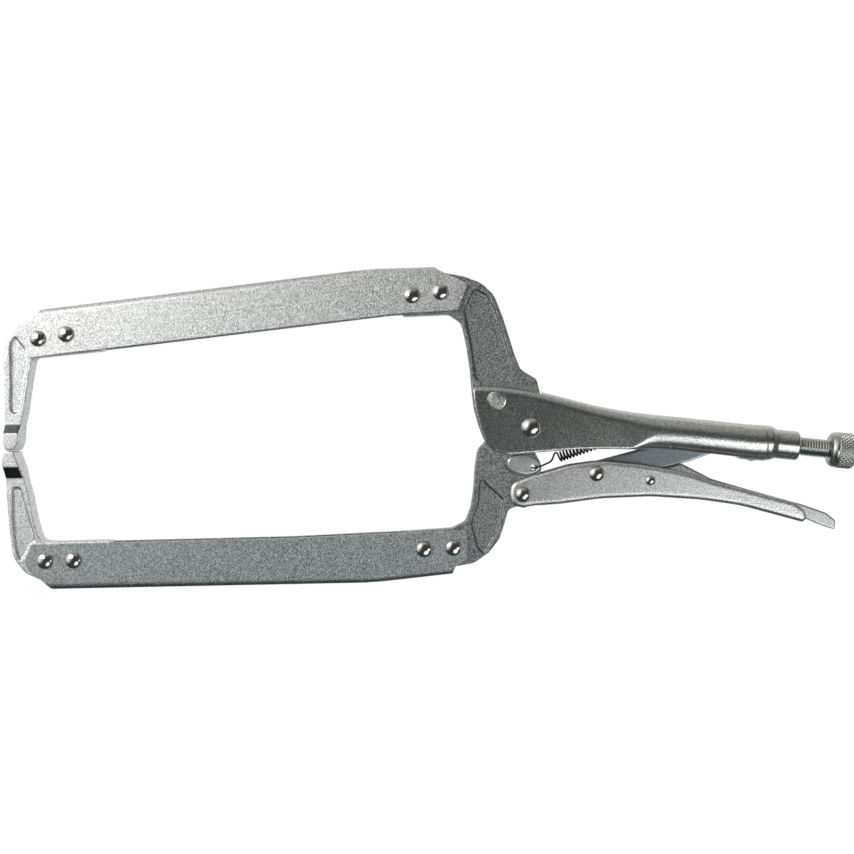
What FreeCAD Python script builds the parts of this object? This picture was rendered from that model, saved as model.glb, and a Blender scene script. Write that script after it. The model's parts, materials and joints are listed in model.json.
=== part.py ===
"""Locking C-clamp, 18 inch long-reach pattern, drawn in millimetres.

Two U-channel arms reach forward from a pair of forged jaws. The upper jaw is fixed in a folded
sheet handle; the lower jaw turns on a rivet through that handle. A U-section lever, a toggle link
and an adjusting screw form the over-centre lock. The clamp is drawn locked with its tips meeting.

X runs along the arms from the tips to the knob, Y across the thickness, Z up.
"""
import math
import os

import FreeCAD
import Part

Vec = FreeCAD.Vector

# ---- driving dimensions, all in millimetres ----------------------------------------------
FORGING_T = 11.0          # thickness of the forged tips and jaws
CHANNEL_SHEET = 2.5       # sheet of the two arms
CHANNEL_W = FORGING_T + 2 * CHANNEL_SHEET
PAD_W = 16.0              # width of the clamping pads
POCKET_DEPTH = 1.4        # recessed panels of the forgings
HANDLE_SHEET = 2.5
HANDLE_GAP = 11.6         # between the two sides of the handle
HANDLE_W = HANDLE_GAP + 2 * HANDLE_SHEET
HANDLE_TUBE_D = 19.4      # rolled rear part of the handle
LEVER_SHEET = 2.0
LEVER_GAP = 11.8
LEVER_W = LEVER_GAP + 2 * LEVER_SHEET
TOGGLE_T = 6.4
RELEASE_SHEET = 1.5
RELEASE_W = 10.4          # its sides pass either side of the toggle link
RUN = 0.05                # radial clearance of every turning pin
TIP_GAP = 0.3             # air left between the two clamping pads

ARM_RIVET_R, ARM_HEAD_R, ARM_HEAD_H = 3.0, 4.3, 2.4
MAIN_PIN_R, MAIN_HEAD_R, MAIN_HEAD_H = 4.2, 5.3, 3.6
LEVER_PIN_R, LEVER_HEAD_R, LEVER_HEAD_H = 3.2, 4.2, 3.0
RELEASE_PIN_R, RELEASE_HEAD_R, RELEASE_HEAD_H = 1.8, 2.7, 1.9
PLUG_R = 4.3

SCREW_D = 10.0            # M10 x 1.5 adjusting screw
SCREW_TILT = -6.8         # degrees, the handle falls towards the knob
BARREL_D = 15.6
KNOB_D = 19.2
KNOB_LENGTH = 13.6
SPRING_COIL_R, SPRING_WIRE_R, SPRING_PITCH = 2.4, 0.5, 1.45

# ---- centres in the X-Z plane of the drawing ---------------------------------------------
JAW_PIVOT = (55.6, 81.3)
LEVER_PIVOT = (50.4, 45.7)
TOGGLE_PIVOT = (90.0, 55.9)
RELEASE_PIVOT = (118.5, 51.8)
TOGGLE_END = (160.5, 73.0)
PLUG_CENTRE = (37.3, 96.1)
BARREL_MOUTH = (199.6, 68.4)
SPRING_HOLE = (56.7, 59.6)
UPPER_FRONT_RIVETS = ((-206.5, 134.0), (-191.5, 136.1))
UPPER_REAR_RIVETS = ((-6.6, 152.9), (8.6, 154.4))
LOWER_FRONT_RIVETS = ((-205.1, 15.4), (-189.9, 15.4))
LOWER_REAR_RIVETS = ((-2.9, 17.5), (12.8, 18.0))

# The drawing's X zero is moved to the middle of the overall length.
TO_ROW_FRAME = Vec(-1.5, 0, 0)


# ---- small drawing helpers ---------------------------------------------------------------
def corner_arc(before, corner, after, radius):
    """Replace one corner by an arc and give its start, arc and end."""
    back = (before - corner).normalize()
    ahead = (after - corner).normalize()
    half = back.getAngle(ahead) / 2.0
    shorter = min((before - corner).Length, (after - corner).Length)
    reach = min(radius / math.tan(half), 0.48 * shorter)
    true_radius = reach * math.tan(half)
    start = corner + back * reach
    end = corner + ahead * reach
    to_centre = (back + ahead).normalize()
    middle = corner + to_centre * (true_radius / math.sin(half) - true_radius)
    return start, Part.Arc(start, middle, end).toShape(), end


def outline(points, radius=0.0, y=0.0):
    """Closed wire in the X-Z plane; a point may carry its own corner radius as a third number."""
    corners = [Vec(p[0], y, p[1]) for p in points]
    radii = [p[2] if len(p) > 2 else radius for p in points]
    count = len(corners)
    edges = []
    starts = []
    for i, corner in enumerate(corners):
        before = Vec(corners[i - 1])
        after = Vec(corners[(i + 1) % count])
        bend = (before - corner).getAngle(after - corner)
        if radii[i] > 0.0 and bend < math.radians(179.0):
            start, arc, end = corner_arc(before, Vec(corner), after, radii[i])
            starts.append((start, arc, end))
        else:
            starts.append((corner, None, corner))
    for i, (start, arc, end) in enumerate(starts):
        if arc is not None:
            edges.append(arc)
        following = starts[(i + 1) % count][0]
        if (following - end).Length > 1e-6:
            edges.append(Part.makeLine(end, following))
    return Part.Wire(Part.__sortEdges__(edges))


def plate(points, width, radius=0.0):
    """Flat plate of the given outline, centred on Y."""
    face = Part.Face(outline(points, radius, -width / 2.0))
    return face.extrude(Vec(0, width, 0))


def pin(centre, radius, width):
    """Round bar across the clamp, centred on Y."""
    return Part.makeCylinder(radius, width, Vec(centre[0], -width / 2.0, centre[1]), Vec(0, 1, 0))


def block(x_low, x_high, width, z_low, z_high):
    return Part.makeBox(x_high - x_low, width, z_high - z_low, Vec(x_low, -width / 2.0, z_low))


def domed_rivet(centre, shank_r, head_r, head_h, grip):
    """Rivet with a shallow dome at both ends; grip is the distance between the heads."""
    solid = pin(centre, shank_r, grip)
    ball_r = (head_r ** 2 + head_h ** 2) / (2.0 * head_h)
    for side in (-1, 1):
        face = Vec(centre[0], side * grip / 2.0, centre[1])
        ball = Part.makeSphere(ball_r, face + Vec(0, side * (head_h - ball_r), 0))
        head = Part.makeCylinder(head_r, head_h + 1.0, face, Vec(0, side, 0))
        solid = solid.fuse(head.common(ball))
    return solid.removeSplitter()


def recess_both_sides(solid, points, thickness, radius):
    """Press the same shallow panel into both faces of a forging."""
    for side in (-1, 1):
        tool = plate(points, 2 * POCKET_DEPTH, radius)
        tool.translate(Vec(0, side * thickness / 2.0, 0))
        solid = solid.cut(tool)
    return solid


def drill(solid, centres, radius, clearance=0.0):
    for centre in centres:
        solid = solid.cut(pin(centre, radius + clearance, 60.0))
    return solid


def along_screw(shape):
    """Place a shape drawn along +X from the barrel's mouth onto the tilted screw axis."""
    placed = shape.copy()
    placed.rotate(Vec(0, 0, 0), Vec(0, 1, 0), -SCREW_TILT)
    placed.translate(Vec(BARREL_MOUTH[0], 0, BARREL_MOUTH[1]))
    return placed


def turned(stations):
    """Solid of revolution about X from (x, radius) stations."""
    points = [Vec(stations[0][0], 0, 0)]
    points += [Vec(x, 0, r) for x, r in stations]
    points.append(Vec(stations[-1][0], 0, 0))
    points.append(points[0])
    face = Part.Face(Part.makePolygon(points))
    return face.revolve(Vec(0, 0, 0), Vec(1, 0, 0), 360)


# ---- arms: folded U channels -------------------------------------------------------------
UPPER_WEB = ((-215.6, 148.6), (-39.3, 166.9), (-28.0, 167.9), (26.0, 168.6))
UPPER_OUTLINE = (
    (-212.5, 124.0, 1.0), (-66.3, 138.6), (-18.2, 143.5), (17.6, 144.8, 1.5), (23.1, 158.7, 2.0),
    (8.1, 166.2, 1.0), (2.5, 170.5), (-205.5, 160.0), (-204.9, 149.6, 1.0), (-209.5, 144.2, 2.0),
    (-215.4, 138.9, 2.5),
)
LOWER_WEB = ((-217.0, 0.0), (-34.0, 0.0), (-24.0, 0.6), (26.0, 5.2))
LOWER_OUTLINE = (
    (-212.3, 24.2, 1.0), (-73.9, 24.8), (-15.2, 26.3), (19.8, 27.6, 1.5), (20.2, 12.2, 1.5),
    (14.0, 8.4, 1.5), (11.5, 3.0, 0.5), (9.0, -3.0), (-202.4, -3.0), (-202.4, 0.4), (-206.9, 4.8, 2.0),
    (-213.7, 10.0, 2.0), (-215.9, 14.8, 2.0),
)


def folded_channel(web, flange, outward):
    """Channel with its web on the given polyline; outward is +1 for a web on top, -1 below."""
    depth = 40.0
    solids = []
    for inset, bend in ((0.0, 3.6), (CHANNEL_SHEET, 1.4)):
        line = [(x, z - outward * inset, 60.0) for x, z in web]
        line[0] = (line[0][0] - inset, line[0][1])
        line[-1] = (line[-1][0] + inset, line[-1][1])
        closing = [(line[-1][0], line[-1][1] - outward * depth),
                   (line[0][0], line[0][1] - outward * depth)]
        body = plate(line + closing, CHANNEL_W - 2 * inset)
        edges = []
        for edge in body.Edges:
            box = edge.BoundBox
            on_side = abs(abs(box.YMin) - (CHANNEL_W / 2.0 - inset)) < 1e-4 and box.YLength < 1e-4
            on_web = box.ZMax > max(z for _, z in web) - 25.0 if outward > 0 else box.ZMin < 9.0
            level = box.XLength > 5.0 and box.ZLength < 0.3 * box.XLength
            edge_z = (box.ZMin + box.ZMax) / 2.0
            far = min(abs(edge_z - closing[0][1]), abs(edge_z - closing[1][1])) < 3.0
            if on_side and on_web and level and not far:
                edges.append(edge)
        solids.append(body.makeFillet(bend, edges))
    skin = solids[0].cut(solids[1])
    return skin.common(plate(flange, CHANNEL_W + 2.0))


def upper_channel():
    solid = folded_channel(UPPER_WEB, UPPER_OUTLINE, 1)
    return drill(solid, UPPER_FRONT_RIVETS + UPPER_REAR_RIVETS, ARM_RIVET_R)


def lower_channel():
    solid = folded_channel(LOWER_WEB, LOWER_OUTLINE, -1)
    return drill(solid, LOWER_FRONT_RIVETS + LOWER_REAR_RIVETS, ARM_RIVET_R)


# ---- forged tips -------------------------------------------------------------------------
UPPER_PAD_Z = 74.45 + TIP_GAP / 2.0
LOWER_PAD_Z = 74.45 - TIP_GAP / 2.0

UPPER_TIP = (
    (-173.1, 127.1, 1.0), (-173.0, 148.4, 1.0), (-204.0, 145.6), (-211.8, 143.9), (-218.8, 140.3, 6.0),
    (-224.3, 132.6, 8.0), (-225.6, 122.8, 12.0), (-225.6, 97.0, 20.0), (-226.2, 80.0, 4.0),
    (-225.6, UPPER_PAD_Z, 2.0), (-220.6, UPPER_PAD_Z, 1.5), (-218.6, 78.4, 3.0), (-218.0, 84.0, 6.0),
    (-215.2, 96.0, 30.0), (-212.7, 111.8, 30.0), (-210.3, 124.1, 3.0),
)
UPPER_POCKET = (
    (-222.3, 130.7, 1.5), (-222.6, 95.8, 1.6), (-219.7, 93.6, 2.0), (-217.0, 96.5, 2.0),
    (-213.9, 114.5, 10.0), (-211.9, 125.4, 1.0), (-219.4, 136.0, 1.0),
)
LOWER_TIP = (
    (-170.3, 25.4, 1.0), (-203.0, 25.2, 2.0), (-208.2, 26.2, 3.5), (-211.3, 37.0, 30.0),
    (-213.7, 50.4, 30.0), (-216.6, 62.0, 10.0), (-219.4, 70.0, 4.0), (-221.0, LOWER_PAD_Z, 1.5),
    (-225.3, LOWER_PAD_Z, 2.0), (-227.3, 69.0, 3.0), (-225.8, 59.0, 10.0), (-225.4, 46.0, 30.0),
    (-224.2, 28.0, 20.0), (-222.6, 17.2, 8.0), (-217.0, 9.2, 8.0), (-208.0, 4.8, 8.0), (-196.0, 4.0),
    (-170.3, 4.0, 1.0),
)
LOWER_POCKET = (
    (-222.4, 54.6, 1.6), (-218.2, 54.8, 1.8), (-215.4, 44.0, 10.0), (-210.4, 25.7, 1.0),
    (-213.1, 23.6, 1.0), (-218.9, 14.4, 1.0), (-221.4, 22.0, 8.0), (-222.6, 37.2, 15.0),
)


def padded_profile(z_pad, z_shoulder, z_body, z_far):
    """Front view of a tip: wide at the clamping pad, sloping back to the forging's thickness."""
    half_pad = PAD_W / 2.0
    half = FORGING_T / 2.0
    points = [Vec(-240, -half_pad, z_pad), Vec(-240, half_pad, z_pad), Vec(-240, half_pad, z_shoulder)]
    points += [Vec(-240, half, z_body), Vec(-240, half, z_far), Vec(-240, -half, z_far)]
    points += [Vec(-240, -half, z_body), Vec(-240, -half_pad, z_shoulder)]
    points.append(points[0])
    return Part.Face(Part.makePolygon(points)).extrude(Vec(80, 0, 0))


def upper_tip():
    solid = plate(UPPER_TIP, PAD_W).common(padded_profile(70.0, 83.6, 88.6, 160.0))
    solid = recess_both_sides(solid, UPPER_POCKET, FORGING_T, 1.0)
    return drill(solid, UPPER_FRONT_RIVETS, ARM_RIVET_R)


def lower_tip():
    solid = plate(LOWER_TIP, PAD_W).common(padded_profile(80.0, 66.0, 59.6, -10.0))
    solid = recess_both_sides(solid, LOWER_POCKET, FORGING_T, 1.0)
    return drill(solid, LOWER_FRONT_RIVETS, ARM_RIVET_R)


# ---- forged jaws -------------------------------------------------------------------------
FIXED_JAW = (
    (-12.0, 142.5, 1.0), (-12.0, 163.2, 1.0), (4.0, 163.8), (9.4, 165.3, 1.5), (21.1, 163.0, 10.0),
    (30.4, 159.3, 10.0), (37.3, 152.6, 10.0), (42.0, 139.9, 30.0), (47.5, 121.0, 30.0),
    (50.6, 112.6, 5.0), (59.2, 107.0, 3.0), (61.0, 99.0, 5.0), (61.6, 93.6, 1.0), (58.0, 84.0),
    (42.0, 78.3), (30.6, 75.1, 0.5), (27.9, 82.5, 20.0), (25.4, 92.0, 20.0), (24.5, 101.6, 20.0),
    (23.7, 113.5, 30.0), (21.9, 127.0, 20.0), (19.6, 138.2, 6.0), (13.0, 143.0, 5.0),
)
FIXED_JAW_POCKET = (
    (20.9, 145.1, 1.0), (27.0, 156.4, 1.0), (33.6, 152.6, 4.0), (37.6, 144.6, 8.0), (41.9, 130.8, 20.0),
    (45.7, 116.6, 1.0), (28.4, 107.1, 1.0), (26.4, 108.0, 1.0), (24.6, 124.0, 20.0),
)
LOWER_JAW = (
    (30.7, 74.3, 1.0), (26.9, 69.8, 4.0), (25.3, 61.1, 15.0), (24.5, 50.0, 30.0), (22.8, 39.8, 15.0),
    (19.6, 31.6, 4.0), (12.4, 28.1, 4.0), (-12.0, 26.9, 1.0), (-12.0, 5.4, 1.0), (9.6, 7.2),
    (16.4, 8.2, 5.0), (23.4, 9.3, 8.0), (31.8, 14.8, 10.0), (37.6, 22.0, 10.0), (40.8, 31.4, 10.0),
    (42.6, 37.6, 3.0), (47.0, 39.3, 3.0), (51.5, 38.3, 3.0), (56.2, 40.6, 4.0), (57.5, 46.0, 4.0),
    (57.0, 51.5, 4.0), (60.2, 56.2, 3.0), (60.9, 59.4, 3.0), (59.9, 63.5, 3.0), (57.2, 68.6), (55.6, 78.0),
    (43.2, 77.6),
)
LOWER_JAW_POCKET = (
    (28.0, 55.0, 1.0), (40.2, 43.2, 1.0), (38.4, 32.0, 10.0), (35.8, 24.6, 8.0), (29.2, 13.8, 1.0),
    (25.6, 17.6, 1.0), (22.6, 30.4, 4.0), (26.6, 42.4, 10.0),
)
BOSS_R = 13.0


def fixed_jaw():
    solid = plate(FIXED_JAW, FORGING_T)
    cheek = plate(FIXED_JAW, HANDLE_GAP).common(block(20.0, 80.0, 30.0, 60.0, 104.0))
    solid = solid.fuse(cheek)
    solid = solid.cut(pin(JAW_PIVOT, BOSS_R + 0.5, 40.0))
    solid = recess_both_sides(solid, FIXED_JAW_POCKET, FORGING_T, 1.0)
    solid = drill(solid, UPPER_REAR_RIVETS, ARM_RIVET_R)
    return drill(solid, (PLUG_CENTRE,), PLUG_R).removeSplitter()


def lower_jaw():
    solid = plate(LOWER_JAW, FORGING_T).fuse(pin(JAW_PIVOT, BOSS_R, FORGING_T))
    solid = recess_both_sides(solid, LOWER_JAW_POCKET, FORGING_T, 1.0)
    solid = drill(solid, (JAW_PIVOT,), MAIN_PIN_R, RUN)
    solid = drill(solid, (LEVER_PIVOT,), LEVER_PIN_R, RUN)
    solid = drill(solid, (SPRING_HOLE,), 1.5)
    return drill(solid, LOWER_REAR_RIVETS, ARM_RIVET_R).removeSplitter()


# ---- handle: folded in front, rolled into a tube behind ----------------------------------
# station: x, top z, bottom z, width, top corner radius, bottom corner radius
HANDLE_STATIONS = (
    (16.0, 105.4, 66.6, HANDLE_W, 5.0, 0.4),
    (40.0, 104.3, 66.9, HANDLE_W, 5.0, 0.4),
    (58.0, 101.2, 67.9, HANDLE_W, 5.4, 0.4),
    (76.0, 96.4, 68.9, HANDLE_W, 6.0, 0.4),
    (92.0, 92.1, 69.1, HANDLE_W, 6.6, 0.4),
    (108.0, 88.9, 68.6, HANDLE_W + 0.4, 7.2, 0.6),
    (122.0, 86.8, 67.6, 18.6, 9.0, 9.0),
    (146.0, 84.0, 64.9, HANDLE_TUBE_D, 9.4, 9.4),
    (181.0, 80.0, 60.8, HANDLE_TUBE_D, 9.4, 9.4),
)
HANDLE_FRONT_EDGE = (
    (25.7, 110.0), (25.7, 104.6), (24.9, 101.6, 10.0), (25.3, 96.3, 20.0), (26.3, 89.9, 20.0),
    (28.3, 82.5, 20.0), (31.1, 74.4, 8.0), (35.2, 69.7, 5.0), (42.0, 67.1, 8.0), (54.8, 67.7, 20.0),
    (54.8, 55.0), (10.0, 55.0), (10.0, 110.0),
)


def handle_section(station, inset):
    """Rounded rectangle across the handle at one station."""
    x, top, bottom, width, top_r, bottom_r = station
    half = width / 2.0 - inset
    top = top - inset
    bottom = bottom + inset
    top_r = max(top_r - inset, 0.3)
    bottom_r = max(bottom_r - inset, 0.3)
    corners = ((half, top, top_r, 0), (-half, top, top_r, 90), (-half, bottom, bottom_r, 180),
               (half, bottom, bottom_r, 270))
    edges = []
    ends = []
    for y, z, radius, angle in corners:
        centre = Vec(x, y - math.copysign(radius, y), z - radius if angle < 180 else z + radius)
        arc = []
        for step in (0.0, 45.0, 90.0):
            turn = math.radians(angle + step)
            arc.append(centre + Vec(0, radius * math.cos(turn), radius * math.sin(turn)))
        ends.append((arc[0], arc[2]))
        edges.append(Part.Arc(*arc).toShape())
    joined = []
    for i, (start, end) in enumerate(ends):
        joined.append(edges[i])
        joined.append(Part.makeLine(end, ends[(i + 1) % 4][0]))
    return Part.Wire(joined)


def eased_stations(steps):
    """The handle's stations with steps slices between each pair, on curves through the stations."""
    eased = []
    last = len(HANDLE_STATIONS) - 1
    for i in range(last):
        near = (HANDLE_STATIONS[max(i - 1, 0)], HANDLE_STATIONS[i], HANDLE_STATIONS[i + 1],
                HANDLE_STATIONS[min(i + 2, last)])
        for step in range(steps):
            t = step / steps
            row = []
            for before, start, end, after in zip(*near):
                bend = (end - before) * 0.5, (after - start) * 0.5
                cubic = 2 * start - 2 * end + bend[0] + bend[1]
                square = 3 * end - 3 * start - 2 * bend[0] - bend[1]
                row.append(((cubic * t + square) * t + bend[0]) * t + start)
            row[0] = near[1][0] + (near[2][0] - near[1][0]) * t
            row[4] = min(max(row[4], 4.8), row[3] / 2.0 - 0.2)
            row[5] = min(max(row[5], 0.4), row[3] / 2.0 - 0.2)
            eased.append(row)
    eased.append(HANDLE_STATIONS[last])
    return eased


def handle_shell(inset):
    wires = [handle_section(station, inset) for station in eased_stations(4)]
    return Part.makeLoft(wires, True, True)


def handle_body():
    outer = handle_shell(0.0)
    barrel_r = BARREL_D / 2.0
    rear = turned(((-19.4, 9.3), (-15.6, 9.3), (-13.2, barrel_r + 0.5), (-12.0, barrel_r), (-0.8, barrel_r),
                   (0.0, barrel_r - 0.8)))
    bead = Part.makeSphere(3.4, Vec(-24.6, 0, -7.2))
    outer = outer.fuse(along_screw(rear)).fuse(along_screw(bead))
    inner = handle_shell(HANDLE_SHEET)
    inner = inner.common(block(-10.0, 180.5, 40.0, 40.0, 120.0))
    solid = outer.cut(inner)
    slot = HANDLE_GAP + 0.002
    solid = solid.cut(block(10.0, 110.0, slot, 50.0, 80.0))
    solid = solid.cut(block(109.0, 167.0, 8.4, 50.0, 74.0))
    solid = solid.cut(block(10.0, 62.0, slot, 80.0, 112.0))
    solid = solid.cut(plate(HANDLE_FRONT_EDGE, 30.0))
    bore = Part.makeCylinder(SCREW_D / 2.0 + RUN, 60.0, Vec(-50, 0, 0), Vec(1, 0, 0))
    clip_room = Part.makeCylinder(7.0, 40.0, Vec(-56.0, 0, 0), Vec(1, 0, 0))
    solid = solid.cut(along_screw(bore)).cut(along_screw(clip_room))
    solid = solid.fuse(spring_tab())
    solid = drill(solid, (JAW_PIVOT,), MAIN_PIN_R)
    return drill(solid, (PLUG_CENTRE,), PLUG_R).removeSplitter()


def spring_tab():
    """Lug lanced from the top of the handle that holds the rear end of the spring."""
    tab = block(115.4, 117.2, 5.0, 77.0, 86.4)
    hole = Part.makeCylinder(1.2, 6.0, Vec(113.0, 0, 79.6), Vec(1, 0, 0))
    return tab.cut(hole)


# ---- lever, toggle link and release lever ------------------------------------------------
LEVER = (
    (43.3, 45.7, 6.0), (44.2, 52.0, 6.0), (54.6, 55.6, 15.0), (76.1, 61.4, 30.0), (93.0, 63.4, 40.0),
    (113.4, 60.8, 60.0), (134.6, 56.8, 60.0), (151.6, 51.2, 30.0), (195.6, 38.8, 3.0), (201.2, 34.6, 2.0),
    (202.3, 29.8, 1.0), (199.6, 27.9, 1.0), (167.0, 37.4, 80.0), (145.7, 40.9, 80.0), (118.9, 43.2, 80.0),
    (92.1, 42.6, 80.0), (70.7, 40.2, 30.0), (57.0, 39.4), (50.3, 38.5, 5.0), (44.4, 39.8, 6.0),
)
LEVER_CAVITY = (
    (30.0, 80.0), (210.0, 80.0), (210.0, 26.9), (199.6, 29.98), (167.3, 39.4, 80.0), (145.9, 42.9, 80.0),
    (118.9, 45.2, 80.0), (92.0, 44.6, 80.0), (70.6, 42.2, 30.0), (59.0, 41.6), (58.6, 30.0), (30.0, 30.0),
)
RELEASE_LEVER = (
    (113.6, 51.8, 4.0), (114.4, 56.6, 4.0), (121.4, 57.4, 6.0), (129.4, 58.6, 3.0), (135.9, 60.4, 1.2),
    (141.2, 57.6, 12.0), (151.6, 51.9, 10.0), (170.0, 46.2, 60.0), (198.9, 37.6, 60.0), (212.4, 32.6, 6.0),
    (217.6, 28.4, 2.5), (217.2, 23.4, 1.0), (209.4, 26.3, 40.0), (201.4, 30.1, 20.0), (188.3, 33.9, 60.0),
    (167.0, 39.95, 80.0), (145.7, 43.4, 80.0), (128.0, 45.2, 60.0), (114.2, 46.0, 4.0),
)
RELEASE_CAVITY = (
    (105.0, 70.0), (225.0, 70.0), (225.0, 25.6), (210.0, 28.0, 40.0), (201.8, 31.7, 20.0),
    (188.7, 35.5, 60.0), (167.3, 41.5, 80.0), (145.9, 44.9, 80.0), (128.0, 46.8, 60.0), (105.0, 47.6),
)


def rounded_below(solid, z_limit, radius, half_width):
    """Round the long folded edges under a lever."""
    edges = []
    for edge in solid.Edges:
        box = edge.BoundBox
        on_side = box.YLength < 1e-4 and abs(abs(box.YMin) - half_width) < 1e-4
        below = box.ZMax < z_limit(box.Center.x) and box.XMin > 56.0
        if on_side and below and box.XLength > 1.4:
            edges.append(edge)
    return solid.makeFillet(radius, edges)


def lever():
    solid = plate(LEVER, LEVER_W)
    solid = rounded_below(solid, lambda x: 46.0 - 0.0017 * max(x - 110.0, 0.0) ** 2, 2.5, LEVER_W / 2.0)
    solid = solid.cut(plate(LEVER_CAVITY, LEVER_GAP))
    solid = drill(solid, (LEVER_PIVOT, TOGGLE_PIVOT), LEVER_PIN_R)
    return drill(solid, (RELEASE_PIVOT,), RELEASE_PIN_R)


def toggle_link():
    front_r, rear_r = 6.5, 4.6
    along = (Vec(TOGGLE_END[0], 0, TOGGLE_END[1]) - Vec(TOGGLE_PIVOT[0], 0, TOGGLE_PIVOT[1])).normalize()
    across = Vec(-along.z, 0, along.x)
    points = []
    for centre, radius, side in ((TOGGLE_PIVOT, front_r, 1), (TOGGLE_END, rear_r, 1),
                                 (TOGGLE_END, rear_r, -1), (TOGGLE_PIVOT, front_r, -1)):
        points.append((centre[0] + side * radius * across.x, centre[1] + side * radius * across.z))
    shank_front = (points[0][0] + 50 * along.x, points[0][1] + 50 * along.z)
    shank_back = (points[3][0] + 50 * along.x, points[3][1] + 50 * along.z)
    body = plate((points[0], shank_front, points[1], points[2], shank_back, points[3]), TOGGLE_T)
    body = body.fuse(pin(TOGGLE_PIVOT, front_r, TOGGLE_T)).fuse(pin(TOGGLE_END, rear_r, TOGGLE_T))
    return drill(body, (TOGGLE_PIVOT,), LEVER_PIN_R, RUN).removeSplitter()


def release_lever():
    solid = plate(RELEASE_LEVER, RELEASE_W)
    solid = solid.cut(plate(RELEASE_CAVITY, RELEASE_W - 2 * RELEASE_SHEET))
    return drill(solid, (RELEASE_PIVOT,), RELEASE_PIN_R, RUN)


# ---- rivets ------------------------------------------------------------------------------
def arm_rivet(centre):
    return domed_rivet(centre, ARM_RIVET_R, ARM_HEAD_R, ARM_HEAD_H, CHANNEL_W)


def main_pivot_rivet():
    return domed_rivet(JAW_PIVOT, MAIN_PIN_R, MAIN_HEAD_R, MAIN_HEAD_H, HANDLE_W)


def lever_pivot_rivet():
    return domed_rivet(LEVER_PIVOT, LEVER_PIN_R, LEVER_HEAD_R, LEVER_HEAD_H, LEVER_W)


def toggle_rivet():
    return domed_rivet(TOGGLE_PIVOT, LEVER_PIN_R, LEVER_HEAD_R, LEVER_HEAD_H, LEVER_W)


def release_rivet():
    return domed_rivet(RELEASE_PIVOT, RELEASE_PIN_R, RELEASE_HEAD_R, RELEASE_HEAD_H, LEVER_W)


def jaw_plug_rivet():
    return pin(PLUG_CENTRE, PLUG_R, HANDLE_W)


# ---- adjusting screw ---------------------------------------------------------------------
CLIP_AT = -28.3
SCREW_TIP_AT = CLIP_AT - 1.2


def adjusting_screw():
    r = SCREW_D / 2.0
    groove_r = r - 0.9
    stations = ((SCREW_TIP_AT, r - 1.2), (SCREW_TIP_AT + 0.3, groove_r), (CLIP_AT + 1.4, groove_r),
                (CLIP_AT + 1.4, r), (16.4, r))
    return along_screw(turned(stations))


def screw_clip():
    """Retaining ring in the groove at the inner end of the screw."""
    ring = Part.makeCylinder(6.4, 1.0, Vec(CLIP_AT + 0.2, 0, 0), Vec(1, 0, 0))
    hole = Part.makeCylinder(SCREW_D / 2.0 - 0.9 + RUN, 3.0, Vec(CLIP_AT - 1.0, 0, 0), Vec(1, 0, 0))
    return along_screw(ring.cut(hole))


def knob():
    r = KNOB_D / 2.0
    start = 16.4
    end = start + KNOB_LENGTH
    stations = ((start, r - 3.0), (start + 1.2, r - 1.2), (start + 2.8, r - 0.3), (start + 4.2, r),
                (end - 2.2, r), (end - 0.9, r - 0.6), (end, r - 2.2))
    return along_screw(turned(stations))


# ---- tension spring ----------------------------------------------------------------------
def bent_wire(points):
    """Round wire bent at each of the given points."""
    spots = [Vec(*point) for point in points]
    bend_r = SPRING_WIRE_R * 1.08
    wire = Part.makeSphere(bend_r, spots[0])
    for start, end in zip(spots, spots[1:]):
        stretch = end - start
        wire = wire.fuse(Part.makeCylinder(SPRING_WIRE_R, stretch.Length, start, stretch))
        wire = wire.fuse(Part.makeSphere(bend_r, end))
    return wire


def tension_spring():
    """Hook in the lower jaw, close coils, hook in the handle's lug."""
    front, rear = Vec(70.6, 0, 65.1), Vec(106.4, 0, 76.6)
    axis = rear - front
    helix = Part.makeHelix(SPRING_PITCH, axis.Length, SPRING_COIL_R)
    section = Part.makeCircle(SPRING_WIRE_R, Vec(SPRING_COIL_R, 0, 0), Vec(0, 1, 0))
    coil = Part.Wire(helix.Edges).makePipeShell([Part.Wire([section])], True, True)
    coil.rotate(Vec(0, 0, 0), Vec(0, 1, 0), 90.0 - math.degrees(math.atan2(axis.z, axis.x)))
    coil.translate(front)
    across = Vec(-axis.z, 0, axis.x).normalize()
    coil_start = front - across * SPRING_COIL_R
    turns = axis.Length / SPRING_PITCH
    spin = 2 * math.pi * (turns - int(turns))
    coil_end = rear - across * (SPRING_COIL_R * math.cos(spin)) + Vec(0, SPRING_COIL_R * math.sin(spin), 0)
    hook = ((55.0, 6.4, 59.0), (56.7, 4.6, 59.6), (56.7, -4.6, 59.6), (57.6, -6.5, 60.0),
            (60.6, -6.3, 61.0), (67.0, -1.2, 62.6), tuple(coil_start))
    lug_hook = (tuple(coil_end), (111.5, 0.0, 79.0), (114.0, 0.0, 79.6), (118.6, 0.0, 79.6),
                (120.0, 0.0, 78.4))
    return coil.fuse(bent_wire(hook)).fuse(bent_wire(lug_hook))


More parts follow.
